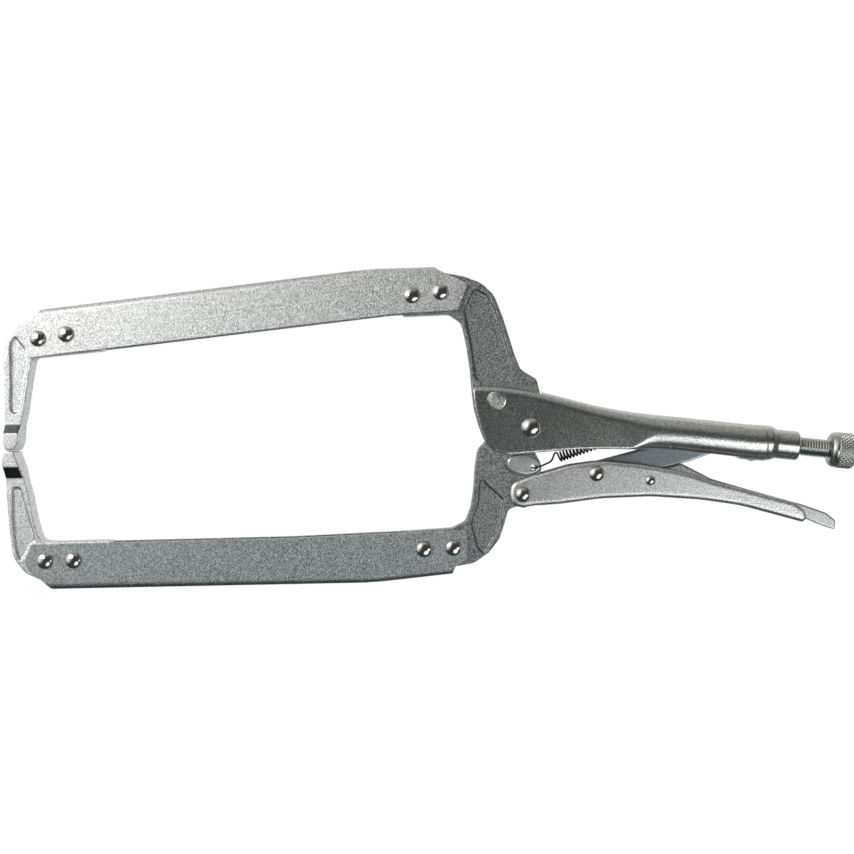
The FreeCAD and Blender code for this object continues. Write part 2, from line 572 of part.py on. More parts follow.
# ---- writing the parts -------------------------------------------------------------------
def all_nodes():
    nodes = {
        "upper_channel": upper_channel(),
        "lower_channel": lower_channel(),
        "upper_tip": upper_tip(),
        "lower_tip": lower_tip(),
        "fixed_jaw": fixed_jaw(),
        "lower_jaw": lower_jaw(),
        "handle_body": handle_body(),
        "main_pivot_rivet": main_pivot_rivet(),
        "jaw_plug_rivet": jaw_plug_rivet(),
        "lever": lever(),
        "lever_pivot_rivet": lever_pivot_rivet(),
        "toggle_rivet": toggle_rivet(),
        "release_rivet": release_rivet(),
        "toggle_link": toggle_link(),
        "release_lever": release_lever(),
        "adjusting_screw": adjusting_screw(),
        "screw_clip": screw_clip(),
        "knob": knob(),
        "tension_spring": tension_spring(),
    }
    groups = (("upper_front_rivet", UPPER_FRONT_RIVETS), ("upper_rear_rivet", UPPER_REAR_RIVETS),
              ("lower_front_rivet", LOWER_FRONT_RIVETS), ("lower_rear_rivet", LOWER_REAR_RIVETS))
    for name, centres in groups:
        for number, centre in enumerate(centres, 1):
            nodes[f"{name}_{number}"] = arm_rivet(centre)
    return nodes


os.makedirs("parts", exist_ok=True)
for node_name, node_shape in all_nodes().items():
    node_shape.translate(TO_ROW_FRAME)
    node_shape.exportStep(f"parts/{node_name}.step")
    box = node_shape.BoundBox
    print(f"{node_name:22s} solids {len(node_shape.Solids)} volume {node_shape.Volume:9.1f}",
          f"valid {node_shape.isValid()} x {box.XMin:7.1f} {box.XMax:7.1f}",
          f"y {box.YMin:6.2f} {box.YMax:6.2f} z {box.ZMin:6.1f} {box.ZMax:6.1f}")
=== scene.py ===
# %% [markdown]
# # A locking C-clamp, from plain solids to finished metal
#
# The engineering model gives every piece its true size and place. This lesson turns those solids
# into something that looks made: forgings with soft edges, sheet with a blasted grain, a cut
# thread, a knurled knob and a wound spring. Each step says what the real piece is, how it could be
# made in Blender, and why one way was chosen.

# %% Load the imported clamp
import json
import math

import bmesh
import bpy
from mathutils import Matrix, Vector, noise


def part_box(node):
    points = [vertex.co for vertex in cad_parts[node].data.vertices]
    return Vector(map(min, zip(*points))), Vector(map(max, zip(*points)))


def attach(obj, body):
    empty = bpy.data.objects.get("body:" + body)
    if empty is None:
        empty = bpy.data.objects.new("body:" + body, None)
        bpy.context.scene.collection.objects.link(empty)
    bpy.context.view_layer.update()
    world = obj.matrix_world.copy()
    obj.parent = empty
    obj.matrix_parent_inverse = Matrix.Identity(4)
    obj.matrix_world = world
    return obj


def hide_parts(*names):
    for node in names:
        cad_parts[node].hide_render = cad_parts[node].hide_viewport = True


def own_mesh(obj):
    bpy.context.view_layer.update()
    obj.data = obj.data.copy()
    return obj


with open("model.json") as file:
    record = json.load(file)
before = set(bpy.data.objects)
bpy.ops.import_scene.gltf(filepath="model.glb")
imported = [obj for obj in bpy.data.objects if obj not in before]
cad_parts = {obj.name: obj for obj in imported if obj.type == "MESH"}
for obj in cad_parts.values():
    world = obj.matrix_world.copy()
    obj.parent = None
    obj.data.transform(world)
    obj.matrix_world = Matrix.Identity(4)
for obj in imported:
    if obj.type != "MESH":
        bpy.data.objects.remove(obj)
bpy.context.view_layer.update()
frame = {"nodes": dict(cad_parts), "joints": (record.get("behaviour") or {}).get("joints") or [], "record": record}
MM = 0.001

# %% [markdown]
# ## Where the moving axes are
#
# The pieces that turn need an axis to be built around. The joints of the engineering model hold
# them already, so they are read from there. Typing them again would let the two models drift apart.

# %% Read the axes from the joints
joints = {joint["name"]: joint for joint in frame["joints"]}
screw_axis = Vector(joints["screw_feed"]["axis"]).normalized()
screw_mouth = Vector(joints["screw_turn"]["pos_m"])
jaw_pivot = Vector(joints["jaw_pivot"]["pos_m"])
BODY_OF = {}
for body, nodes in frame["record"]["behaviour"]["bodies"].items():
    for node in nodes:
        BODY_OF[node] = body
SLOT_OF = {part["node"]: part["material_slot"] for part in frame["record"]["subparts"]}
print("screw axis", [round(v, 3) for v in screw_axis])
print("jaw pivot, mm:", [round(v / MM, 1) for v in jaw_pivot])


def span_along(node, origin, axis):
    """How far a solid reaches each way along an axis."""
    places = [(vertex.co - origin).dot(axis) for vertex in frame["nodes"][node].data.vertices]
    return min(places), max(places)


# %% [markdown]
# ## Node groups: the finishes every piece shares
#
# The whole clamp is blasted with grit and then plated, so one grain runs over every piece, only
# coarser on the forgings and finer on the handle. Copying noise nodes into each material would work,
# but then a change has to be made many times. A node group is built once and each material sets its
# own size and depth.

# %% A small helper for wiring nodes
def add_node(tree, kind, inputs=None, **settings):
    node = tree.nodes.new(kind)
    for name, value in settings.items():
        setattr(node, name, value)
    for name, value in (inputs or {}).items():
        if isinstance(value, bpy.types.NodeSocket):
            tree.links.new(value, node.inputs[name])
        else:
            node.inputs[name].default_value = value
    return node


def new_group(name, inputs, outputs):
    group = bpy.data.node_groups.new(name, "ShaderNodeTree")
    for label, default in inputs.items():
        socket = group.interface.new_socket(label, in_out="INPUT", socket_type="NodeSocketFloat")
        socket.default_value = default
    for label, kind in outputs.items():
        group.interface.new_socket(label, in_out="OUTPUT", socket_type=kind)
    return group, group.nodes.new("NodeGroupInput"), group.nodes.new("NodeGroupOutput")


# %% [markdown]
# ### Blasted grain
#
# Grit leaves overlapping dents of about half a millimetre, with finer sparkle between them. Noise at
# two sizes gives that: the coarse one is the dents, the fine one the sparkle. A third, much larger
# noise is the uneven blasting, which leaves patches a little flatter and brighter than the rest.

# %% Build the blasted-grain group
grain_group, g_in, g_out = new_group(
    "blasted grain", {"Grain per mm": 1.6, "Patch per mm": 0.05},
    {"Height": "NodeSocketFloat", "Sparkle": "NodeSocketFloat", "Patches": "NodeSocketFloat"})
place = add_node(grain_group, "ShaderNodeTexCoord").outputs["Object"]
in_mm = add_node(grain_group, "ShaderNodeVectorMath", {0: place, 1: (1000.0, 1000.0, 1000.0)},
                 operation="MULTIPLY")
dents = add_node(grain_group, "ShaderNodeTexNoise",
                 {"Vector": in_mm.outputs[0], "Scale": g_in.outputs["Grain per mm"],
                  "Detail": 3.0, "Roughness": 0.62})
SPARKLE_FINENESS = 2.3
fine_scale = add_node(grain_group, "ShaderNodeMath",
                      {0: g_in.outputs["Grain per mm"], 1: SPARKLE_FINENESS}, operation="MULTIPLY")
fine = add_node(grain_group, "ShaderNodeTexNoise",
                {"Vector": in_mm.outputs[0], "Scale": fine_scale.outputs[0],
                 "Detail": 1.0, "Roughness": 0.5})
both = add_node(grain_group, "ShaderNodeMath", {0: dents.outputs["Fac"], 1: fine.outputs["Fac"]},
                operation="ADD")
sparkle = add_node(grain_group, "ShaderNodeMapRange",
                   {"Value": both.outputs[0], "From Min": 0.82, "From Max": 1.22,
                    "To Min": 0.0, "To Max": 1.0})
patches = add_node(grain_group, "ShaderNodeTexNoise",
                   {"Vector": in_mm.outputs[0], "Scale": g_in.outputs["Patch per mm"],
                    "Detail": 4.0, "Roughness": 0.6})
grain_group.links.new(both.outputs[0], g_out.inputs["Height"])
grain_group.links.new(sparkle.outputs["Result"], g_out.inputs["Sparkle"])
grain_group.links.new(patches.outputs["Fac"], g_out.inputs["Patches"])
print("group", grain_group.name, "with", len(grain_group.nodes), "nodes")

# %% [markdown]
# ### Bright edges
#
# Tumbling and handling polish the outer edges, and the grain wears off there first. Two ways could
# find the edges: painting a mask, or comparing the true normal with one rounded by the Bevel node.
# The second needs no painting and works on every piece, so it is the one used.

# %% Build the bright-edge group
edge_group, e_in, e_out = new_group("bright edges", {"Radius mm": 0.6, "Gain": 5.0},
                                    {"Mask": "NodeSocketFloat"})
radius_m = add_node(edge_group, "ShaderNodeMath", {0: e_in.outputs["Radius mm"], 1: MM},
                    operation="MULTIPLY")
rounded = add_node(edge_group, "ShaderNodeBevel", {"Radius": radius_m.outputs[0]}, samples=4)
true_normal = add_node(edge_group, "ShaderNodeNewGeometry").outputs["Normal"]
match = add_node(edge_group, "ShaderNodeVectorMath", {0: rounded.outputs[0], 1: true_normal},
                 operation="DOT_PRODUCT")
differ = add_node(edge_group, "ShaderNodeMath", {0: 1.0, 1: match.outputs["Value"]},
                  operation="SUBTRACT")
gained = add_node(edge_group, "ShaderNodeMath", {0: differ.outputs[0], 1: e_in.outputs["Gain"]},
                  operation="MULTIPLY", use_clamp=True)
edge_group.links.new(gained.outputs[0], e_out.inputs["Mask"])
print("group", edge_group.name, "with", len(edge_group.nodes), "nodes")

# %% [markdown]
# ## Plated steel in several finishes
#
# One recipe makes them all: a metallic shader whose colour lightens on the grain's high points,
# whose roughness wanders with the patches, and whose bump is the grain. The finishes differ in tint,
# gloss and in how coarse and how deep the grain is. Depth is in millimetres, sparkle and edge are
# shares from 0 to 1, and patch is how far the roughness wanders.

# %% The plated-steel recipe
POLISHED = (0.86, 0.86, 0.84, 1.0)


def plated_steel(name, tint, roughness, grain_per_mm, grain_depth, sparkle=0.25, edge=0.3, patch=0.04):
    material = bpy.data.materials.new(name)
    material.use_nodes = True
    tree = material.node_tree
    shader = tree.nodes["Principled BSDF"]
    shader.inputs["Metallic"].default_value = 1.0
    grain = add_node(tree, "ShaderNodeGroup", node_tree=grain_group)
    grain.inputs["Grain per mm"].default_value = grain_per_mm
    edges = add_node(tree, "ShaderNodeGroup", node_tree=edge_group)
    dark = [channel * (1.0 - sparkle) for channel in tint] + [1.0]
    light = [min(channel * (1.0 + 0.8 * sparkle), 1.0) for channel in tint] + [1.0]
    speckled = add_node(tree, "ShaderNodeMix", data_type="RGBA")
    tree.links.new(grain.outputs["Sparkle"], speckled.inputs["Factor"])
    speckled.inputs[6].default_value = dark
    speckled.inputs[7].default_value = light
    worn = add_node(tree, "ShaderNodeMix", data_type="RGBA")
    edge_share = add_node(tree, "ShaderNodeMath", {0: edges.outputs["Mask"], 1: edge},
                          operation="MULTIPLY")
    tree.links.new(edge_share.outputs[0], worn.inputs["Factor"])
    tree.links.new(speckled.outputs[2], worn.inputs[6])
    worn.inputs[7].default_value = POLISHED
    tree.links.new(worn.outputs[2], shader.inputs["Base Color"])
    wander = add_node(tree, "ShaderNodeMapRange",
                      {"Value": grain.outputs["Patches"], "From Min": 0.3, "From Max": 0.7,
                       "To Min": roughness - patch, "To Max": roughness + patch})
    tree.links.new(wander.outputs["Result"], shader.inputs["Roughness"])
    bump = add_node(tree, "ShaderNodeBump", {"Height": grain.outputs["Height"], "Strength": 1.0,
                                             "Distance": grain_depth * MM})
    tree.links.new(bump.outputs["Normal"], shader.inputs["Normal"])
    return material


# %% [markdown]
# ### The clamp's finishes
#
# The finishes by slot serve most pieces. Some pieces or faces differ from their slot and get a finish
# of their own: the flush rivet is dressed flat, the tips are paler than the jaws, the release lever is
# duller, the lower arm's sheet is painted darker as shade, the lobe is smooth and the pads' shoulders
# are milled, with a near-black colour that is a painted dark reflection.

# %% Mix the finishes
FINISH = {
    "sheet_steel": plated_steel("blasted sheet steel", (0.76, 0.785, 0.745), roughness=0.31,
                                grain_per_mm=1.3, grain_depth=0.16, sparkle=0.58, edge=0.2),
    "forged_steel": plated_steel("blasted forging", (0.274, 0.291, 0.286), roughness=0.33,
                                 grain_per_mm=1.2, grain_depth=0.22, sparkle=0.75, edge=0.12),
    "handle_steel": plated_steel("blasted handle steel", (0.55, 0.57, 0.545), roughness=0.26,
                                 grain_per_mm=1.5, grain_depth=0.022, sparkle=0.50, edge=0.15, patch=0.02),
    "lever_steel": plated_steel("blasted lever steel", (0.76, 0.79, 0.755), roughness=0.34,
                                grain_per_mm=1.4, grain_depth=0.080, sparkle=0.55, edge=0.2),
    "rivet_steel": plated_steel("bright rivet", (0.52, 0.515, 0.49), roughness=0.08,
                                grain_per_mm=0.8, grain_depth=0.004, sparkle=0.06, edge=0.1, patch=0.03),
    "toggle_steel": plated_steel("toggle steel", (0.28, 0.317, 0.34), roughness=0.34,
                                 grain_per_mm=1.3, grain_depth=0.030, sparkle=0.26, edge=0.2),
    "spring_steel": plated_steel("dark spring wire", (0.045, 0.045, 0.05), roughness=0.34,
                                 grain_per_mm=2.0, grain_depth=0.010, sparkle=0.10, edge=0.0),
    "screw_steel": plated_steel("screw steel", (0.42, 0.44, 0.41), roughness=0.24,
                                grain_per_mm=1.5, grain_depth=0.010, sparkle=0.12, edge=0.3, patch=0.06),
    "knob_steel": plated_steel("knob steel", (0.42, 0.43, 0.41), roughness=0.22,
                               grain_per_mm=1.5, grain_depth=0.010, sparkle=0.10, edge=0.4, patch=0.06),
}
FLUSH = plated_steel("flush rivet face", (0.48, 0.51, 0.48), roughness=0.42,
                     grain_per_mm=0.9, grain_depth=0.14, sparkle=0.55, edge=0.1)
TIP = plated_steel("blasted tip", (0.68, 0.71, 0.695), roughness=0.35,
                   grain_per_mm=1.25, grain_depth=0.16, sparkle=0.58, edge=0.15)
# Painted shade: the lower arm is the same sheet steel as the upper one, painted darker and a little cooler.
SHADED_LOWER_SHEET = plated_steel("sheet steel painted darker for shade", (0.39, 0.42, 0.42), roughness=0.31,
                           grain_per_mm=1.3, grain_depth=0.17, sparkle=0.60, edge=0.2)
RELEASE = plated_steel("dull release lever", (0.36, 0.38, 0.38), roughness=0.26,
                       grain_per_mm=1.4, grain_depth=0.050, sparkle=0.30, edge=0.5)
LOBE = plated_steel("smooth lobe", (0.71, 0.75, 0.72), roughness=0.36,
                    grain_per_mm=1.3, grain_depth=0.040, sparkle=0.28, edge=0.1)
# The milled shoulders' near-black colour is painted: it stands for the dark reflection of their surroundings.
MILLED_PAINTED_DARK = plated_steel("milled pad shoulder painted dark", (0.10, 0.11, 0.11), roughness=0.22,
                      grain_per_mm=0.8, grain_depth=0.01, sparkle=0.15, edge=0.1, patch=0.03)
for slot_name, material in FINISH.items():
    print(f"{slot_name}: {material.name}")


# %% [markdown]
# ## Helpers for pieces
#
# Every piece ends the same way: it gets its finish, it stands for its solid in the engineering model
# and it rides on the body that the solid belongs to, so it moves when the clamp opens.

# %% Finish a piece and hang it on its body
def hand_over(piece, node, finish=None):
    piece.data.materials.clear()
    piece.data.materials.append(FINISH[SLOT_OF[node]] if finish is None else finish)
    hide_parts(node)
    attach(piece, BODY_OF[node])
    print(f"{piece.name}: {len(piece.data.polygons)} faces, rides on {BODY_OF[node]}")
    return piece


def new_piece(name, mesh):
    piece = bpy.data.objects.new(name, mesh)
    bpy.context.scene.collection.objects.link(piece)
    return piece


def bake_modifiers(piece):
    """Turn the modifiers' result into the piece's own mesh."""
    bpy.context.view_layer.update()
    evaluated = piece.evaluated_get(bpy.context.evaluated_depsgraph_get())
    result = bpy.data.meshes.new_from_object(evaluated)
    piece.modifiers.clear()
    piece.data = result
    for polygon in piece.data.polygons:
        polygon.use_smooth = True


def clean_copy(name, node):
    """A copy of a solid's skin with doubled points merged."""
    mesh = frame["nodes"][node].data.copy()
    work = bmesh.new()
    work.from_mesh(mesh)
    bmesh.ops.remove_doubles(work, verts=work.verts, dist=0.002 * MM)
    work.to_mesh(mesh)
    work.free()
    return new_piece(name, mesh)


# %% [markdown]
# ## Forgings: tips, jaws and the toggle link
#
# A forging comes out of a die: every edge is rounded, the recessed panels have soft shoulders, and
# the faces are never quite flat. Bevelling every edge of such a shape by hand is slow and fails where
# panels meet. Remeshing the solid into small even cells and relaxing it rounds all edges at once,
# inside and out, the way the die does. A little noise along the normals gives the uneven faces.

# %% How a forging is made
BROAD_WAVES = 0.22
SHORT_WAVES = 0.7


def forged(name, node, cell, relax, unevenness, finish=None, carve=None):
    """cell and unevenness are in mm, relax counts smoothing passes, carve gives a sunk depth in mm."""
    piece = clean_copy(name, node)
    remesh = piece.modifiers.new("even cells", "REMESH")
    remesh.mode = "VOXEL"
    remesh.voxel_size = cell * MM
    soften = piece.modifiers.new("die rounding", "SMOOTH")
    soften.factor = 0.5
    soften.iterations = relax
    bake_modifiers(piece)
    outward = [vertex.normal.copy() for vertex in piece.data.vertices]
    for vertex, normal in zip(piece.data.vertices, outward):
        spot = vertex.co / MM
        swell = noise.noise(spot * BROAD_WAVES) + 0.4 * noise.noise(spot * SHORT_WAVES)
        sink = carve(vertex.co, normal) if carve else 0.0
        vertex.co += normal * ((swell * unevenness - sink) * MM)
    return hand_over(piece, node, finish)


# %% [markdown]
# ### The oval lobe of the lower jaw
#
# Round the spring's hole the die leaves a smooth oval lobe with a narrow sunk line about it. The line
# is an ellipse pressed into both faces, placed from the main pivot that the jaw turns on.

# %% Draw the lobe's outline
LOBE_TO_PIVOT = Vector((4.1, 0.0, 19.7))
LOBE_TILT = math.radians(-8.0)
LOBE_HALF_LENGTH, LOBE_HALF_HEIGHT = 9.6, 5.5
LOBE_MEAN_RADIUS = 6.0
LINE_DEPTH, LINE_HALF_WIDTH = 0.75, 0.5


def from_lobe_line(place):
    """Distance in mm outside the lobe's outline, nearly; negative inside it."""
    beside = (place - jaw_pivot) / MM + LOBE_TO_PIVOT
    along = beside.x * math.cos(LOBE_TILT) + beside.z * math.sin(LOBE_TILT)
    across = beside.z * math.cos(LOBE_TILT) - beside.x * math.sin(LOBE_TILT)
    return (math.hypot(along / LOBE_HALF_LENGTH, across / LOBE_HALF_HEIGHT) - 1.0) * LOBE_MEAN_RADIUS


def lobe_outline(place, normal):
    """Depth in mm of the sunk line, on the jaw's two broad faces only."""
    if abs(normal.y) < 0.7:
        return 0.0
    return LINE_DEPTH * math.exp(-(from_lobe_line(place) / LINE_HALF_WIDTH) ** 2)


print("lobe", 2 * LOBE_HALF_LENGTH, "by", 2 * LOBE_HALF_HEIGHT, "mm")

# %% [markdown]
# ### The five forgings
#
# The tips are the palest. The jaws use slightly smaller cells, so that the lobe's thin line comes out
# clean. The toggle link is flat bar pressed to shape, so it is relaxed least. The faces inside the
# lobe's line take a smoother finish as a second material.

# %% Make the forgings
forged("forged_upper_tip", "upper_tip", 0.5, 6, 0.05, TIP)
forged("forged_lower_tip", "lower_tip", 0.5, 6, 0.05, TIP)
forged("forged_fixed_jaw", "fixed_jaw", 0.45, 6, 0.05)
lower_jaw = forged("forged_lower_jaw", "lower_jaw", 0.45, 6, 0.05, None, lobe_outline)
lower_jaw.data.materials.append(LOBE)
for polygon in lower_jaw.data.polygons:
    if abs(polygon.normal.y) > 0.8 and from_lobe_line(polygon.center) < -0.6:
        polygon.material_index = 1
forged("pressed_toggle_link", "toggle_link", 0.5, 4, 0.02)

# %% [markdown]
# ### Milled shoulders of the pads
#
# Each tip widens from the forging's thickness to the pad's. That sloping shoulder is milled after
# forging, so it is smooth instead of glittering like blasted skin. Its near-black colour is painted: a
# painted reflection of the dark surroundings. It is found by its slope and by lying outside the
# forging's own thickness.

# %% Give the shoulders their own finish
for name, node in (("forged_upper_tip", "upper_tip"), ("forged_lower_tip", "lower_tip")):
    tip = bpy.data.objects[name]
    # The shoulders get the painted dark reflection as a second material.
    tip.data.materials.append(MILLED_PAINTED_DARK)
    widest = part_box(node)[1].y
    milled = 0
    for polygon in tip.data.polygons:
        sideways = abs(polygon.center.y)
        if 0.70 * widest < sideways < 0.985 * widest and 0.25 < abs(polygon.normal.y) < 0.97:
            if abs(polygon.normal.z) > 0.2:
                polygon.material_index = 1
                milled += 1
    print(f"{name}: {milled} milled faces, widest {widest / MM:.2f} mm from the middle")

# %% [markdown]
# ## Folded pieces: handle, lever and release lever
#
# These are cut from sheet, folded in a press and then tumbled, so their edges are rounded by a few
# tenths of a millimetre, less than on a forging. The same cells-and-relax way works, with smaller
# cells and fewer passes, so that the sheet keeps its thickness.

# %% Make the folded pieces
forged("folded_handle", "handle_body", 0.5, 5, 0.0)
forged("folded_lever", "lever", 0.42, 3, 0.02)
forged("folded_release_lever", "release_lever", 0.36, 3, 0.01, RELEASE)

# %% [markdown]
# ## The two arms
#
# Each arm is a long straight channel. Small cells would spend hundreds of thousands of faces on flat
# metal, so here the solid's flat faces are merged and its sharp edges get a narrow bevel instead.

# %% Make the channels
def channel(name, node, edge, finish=None):
    piece = clean_copy(name, node)
    work = bmesh.new()
    work.from_mesh(piece.data)
    bmesh.ops.dissolve_limit(work, angle_limit=math.radians(1.0), verts=work.verts, edges=work.edges)
    work.to_mesh(piece.data)
    work.free()
    bevel = piece.modifiers.new("sheared edge", "BEVEL")
    bevel.width = edge * MM
    bevel.segments = 3
    bevel.limit_method = "ANGLE"
    bevel.angle_limit = math.radians(32.0)
    for polygon in piece.data.polygons:
        polygon.use_smooth = True
    piece.modifiers.new("flat faces stay flat", "WEIGHTED_NORMAL").weight = 90
    bake_modifiers(piece)
    return hand_over(piece, node, finish)


channel("upper_arm_channel", "upper_channel", 0.35)
# The lower arm takes the darker sheet colour, which is painted shade.
channel("lower_arm_channel", "lower_channel", 0.35, SHADED_LOWER_SHEET)


# %% [markdown]
# ## Turned skins: rivets, screw and knob
#
# Anything round is a profile carried round an axis. A Screw modifier can do that, but a thread and a
# knurl need a radius that also changes with the angle. One function that asks for the radius at each
# place along and around the axis makes plain, threaded and knurled skins alike, always closed.

# %% A skin around an axis
def round_skin(name, origin, axis, places, radius_at, segments):
    """Closed skin: places are distances along the axis, radius_at(place, angle) its radius there."""
    axis = axis.normalized()
    side = axis.orthogonal().normalized()
    other = axis.cross(side)
    work = bmesh.new()
    rings = []
    for place in places:
        ring = []
        for i in range(segments):
            angle = 2.0 * math.pi * i / segments
            spoke = side * math.cos(angle) + other * math.sin(angle)
            ring.append(work.verts.new(origin + axis * place + spoke * radius_at(place, angle)))
        rings.append(ring)
    for low, high in zip(rings, rings[1:]):
        for i in range(segments):
            j = (i + 1) % segments
            work.faces.new((low[i], low[j], high[j], high[i]))
    for ring, place, flip in ((rings[0], places[0], True), (rings[-1], places[-1], False)):
        hub = work.verts.new(origin + axis * place)
        for i in range(segments):
            j = (i + 1) % segments
            corners = (ring[j], ring[i], hub) if flip else (ring[i], ring[j], hub)
            work.faces.new(corners)
    bmesh.ops.recalc_face_normals(work, faces=work.faces)
    mesh = bpy.data.meshes.new(name)
    work.to_mesh(mesh)
    work.free()
    for polygon in mesh.polygons:
        polygon.use_smooth = True
    return new_piece(name, mesh)


def along_profile(profile):
    """Radius at a place, straight between the profile's (place, radius) points."""
    def radius_at(place, angle):
        for (start, first), (end, second) in zip(profile, profile[1:]):
            if place <= end:
                share = (place - start) / max(end - start, 1e-9)
                return first + (second - first) * min(max(share, 0.0), 1.0)
        return profile[-1][1]
    return radius_at


# %% [markdown]
# ## Rivets
#
# A rivet is set with a cupped tool, which leaves a dome with a narrow flat skirt where the tool met
# the sheet. The dome is a quarter ellipse from the skirt to the crown; the two heads and the shank
# between them are one skin. Each kind of pin is given as its shank's radius and its head's height, in
# millimetres, and the head's radius comes from the solid. The upper jaw's pin is dressed flush instead.

# %% Set the rivets
def dome_profile(length, shank_r, head_r, head_h):
    half = length / 2.0
    grip = half - head_h
    skirt = 0.12 * head_h
    arc = []
    for i in range(13):
        turn = math.radians(90.0 * i / 12.0)
        height = grip + skirt + (head_h - skirt) * math.sin(turn)
        arc.append((height, max(head_r * math.cos(turn), 0.02 * MM)))
    one_end = [(grip, shank_r), (grip + 0.001 * MM, head_r * 0.97), (grip + skirt * 0.5, head_r)] + arc
    other_end = [(-place, radius) for place, radius in reversed(one_end)]
    return other_end + one_end


ARM_PIN = (3.0, 2.4)
LEVER_PIN = (3.2, 3.0)
OTHER_PINS = {"main_pivot_rivet": (4.2, 3.6), "release_rivet": (1.8, 1.9)}
RIVETS = [node for node in SLOT_OF if node.endswith("rivet") or "_rivet_" in node]
for node in RIVETS:
    low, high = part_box(node)
    centre = (low + high) / 2.0
    head_r = (high.x - low.x) / 2.0
    length = high.y - low.y
    if node == "jaw_plug_rivet":
        half = length / 2.0 + 0.03 * MM
        profile = [(-half, head_r - 0.25 * MM), (-half + 0.12 * MM, head_r), (half - 0.12 * MM, head_r),
                   (half, head_r - 0.25 * MM)]
    else:
        shank, head_h = OTHER_PINS.get(node, ARM_PIN if "_rivet_" in node else LEVER_PIN)
        profile = dome_profile(length, shank * MM, head_r, head_h * MM)
    places = [place for place, radius in profile]
    rivet = round_skin(f"set_{node}", centre, Vector((0, 1, 0)), places, along_profile(profile), 48)
    hand_over(rivet, node, FLUSH if node == "jaw_plug_rivet" else None)

# %% [markdown]
# ## Adjusting screw
#
# The screw has a coarse metric thread, 1.5 mm from crest to crest. Sweeping a cutter along a helix
# and subtracting it leaves ragged ends; a skin whose radius depends on the place minus the share of a
# turn gives the same ridge in one closed piece. The thread fades out before the inner groove.

# %% Cut the thread
PITCH = 1.5 * MM
THREAD_DEPTH = 0.92 * MM
CREST_SLOPE, ROOT_FLAT = 1.25, 0.06
low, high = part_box("adjusting_screw")
screw_r = (high.y - low.y) / 2.0
screw_start, screw_end = span_along("adjusting_screw", screw_mouth, screw_axis)
groove_end = screw_start + 2.7 * MM


def thread_radius(place, angle):
    if place < groove_end:
        return screw_r - 1.0 * MM
    share = (place / PITCH - angle / (2.0 * math.pi)) % 1.0
    ridge = min(1.0, max(0.0, abs(2.0 * share - 1.0) * CREST_SLOPE - ROOT_FLAT))
    ease = min(1.0, (place - groove_end) / (1.0 * MM), (screw_end - place) / (1.2 * MM) + 0.02)
    return screw_r - THREAD_DEPTH * (1.0 - ridge * max(ease, 0.0))


steps = int((screw_end - screw_start) / (0.125 * MM))
thread_places = [screw_start + (screw_end - screw_start) * i / steps for i in range(steps + 1)]
screw = round_skin("threaded_screw", screw_mouth, screw_axis, thread_places, thread_radius, 72)
hand_over(screw, "adjusting_screw")

# %% [markdown]
# ## Knob
#
# The knob is pressed on the screw: a smooth rounded collar, a narrow groove, then a band of diamond
# knurl and a rounded rim. The knurl is two families of grooves wound opposite ways; the deeper of the
# two at each place sets the radius, which leaves small pyramids.

# %% Turn and knurl the knob
low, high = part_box("knob")
knob_r = (high.y - low.y) / 2.0
knob_start, knob_end = span_along("knob", screw_mouth, screw_axis)
knob_length = knob_end - knob_start
knob_shape = along_profile([
    (knob_start, knob_r - 3.4 * MM), (knob_start + 0.2 * MM, knob_r - 2.4 * MM),
    (knob_start + 0.7 * MM, knob_r - 1.4 * MM), (knob_start + 1.5 * MM, knob_r - 0.7 * MM),
    (knob_start + 2.6 * MM, knob_r - 0.25 * MM), (knob_start + 3.6 * MM, knob_r - 0.12 * MM),
    (knob_start + 3.9 * MM, knob_r - 0.45 * MM), (knob_start + 4.2 * MM, knob_r - 0.12 * MM),
    (knob_start + 4.6 * MM, knob_r), (knob_end - 1.9 * MM, knob_r),
    (knob_end - 0.9 * MM, knob_r - 0.45 * MM), (knob_end - 0.3 * MM, knob_r - 1.2 * MM),
    (knob_end, knob_r - 2.3 * MM)])
KNURLS = 26
KNURL_DEPTH = 0.85 * MM
knurl_from, knurl_to = knob_start + 4.2 * MM, knob_end - 0.7 * MM


def knob_radius(place, angle):
    radius = knob_shape(place, angle)
    if knurl_from < place < knurl_to:
        lead = 2.0 * math.pi * knob_r / KNURLS
        along = place / lead
        around = angle * KNURLS / (2.0 * math.pi)
        first = abs(((along + around) % 1.0) * 2.0 - 1.0)
        second = abs(((along - around) % 1.0) * 2.0 - 1.0)
        fade = min(1.0, (place - knurl_from) / (0.4 * MM), (knurl_to - place) / (0.5 * MM))
        radius -= KNURL_DEPTH * fade * max(0.0, max(first, second) - 0.35) / 0.65
    return radius


steps = int(knob_length / (0.14 * MM))
knob_places = [knob_start + knob_length * i / steps for i in range(steps + 1)]
knob = round_skin("knurled_knob", screw_mouth, screw_axis, knob_places, knob_radius, 272)
hand_over(knob, "knob")

# %% [markdown]
# ## Bent wire: the retaining ring and the spring
#
# Both are round wire, bent along a line. A curve with a round bevel would draw one, but it can twist
# where the line turns sharply. Here each ring of points leans over from the last one only as far as
# the line turns, so the wire does not twist, and both ends are closed with a low cone.

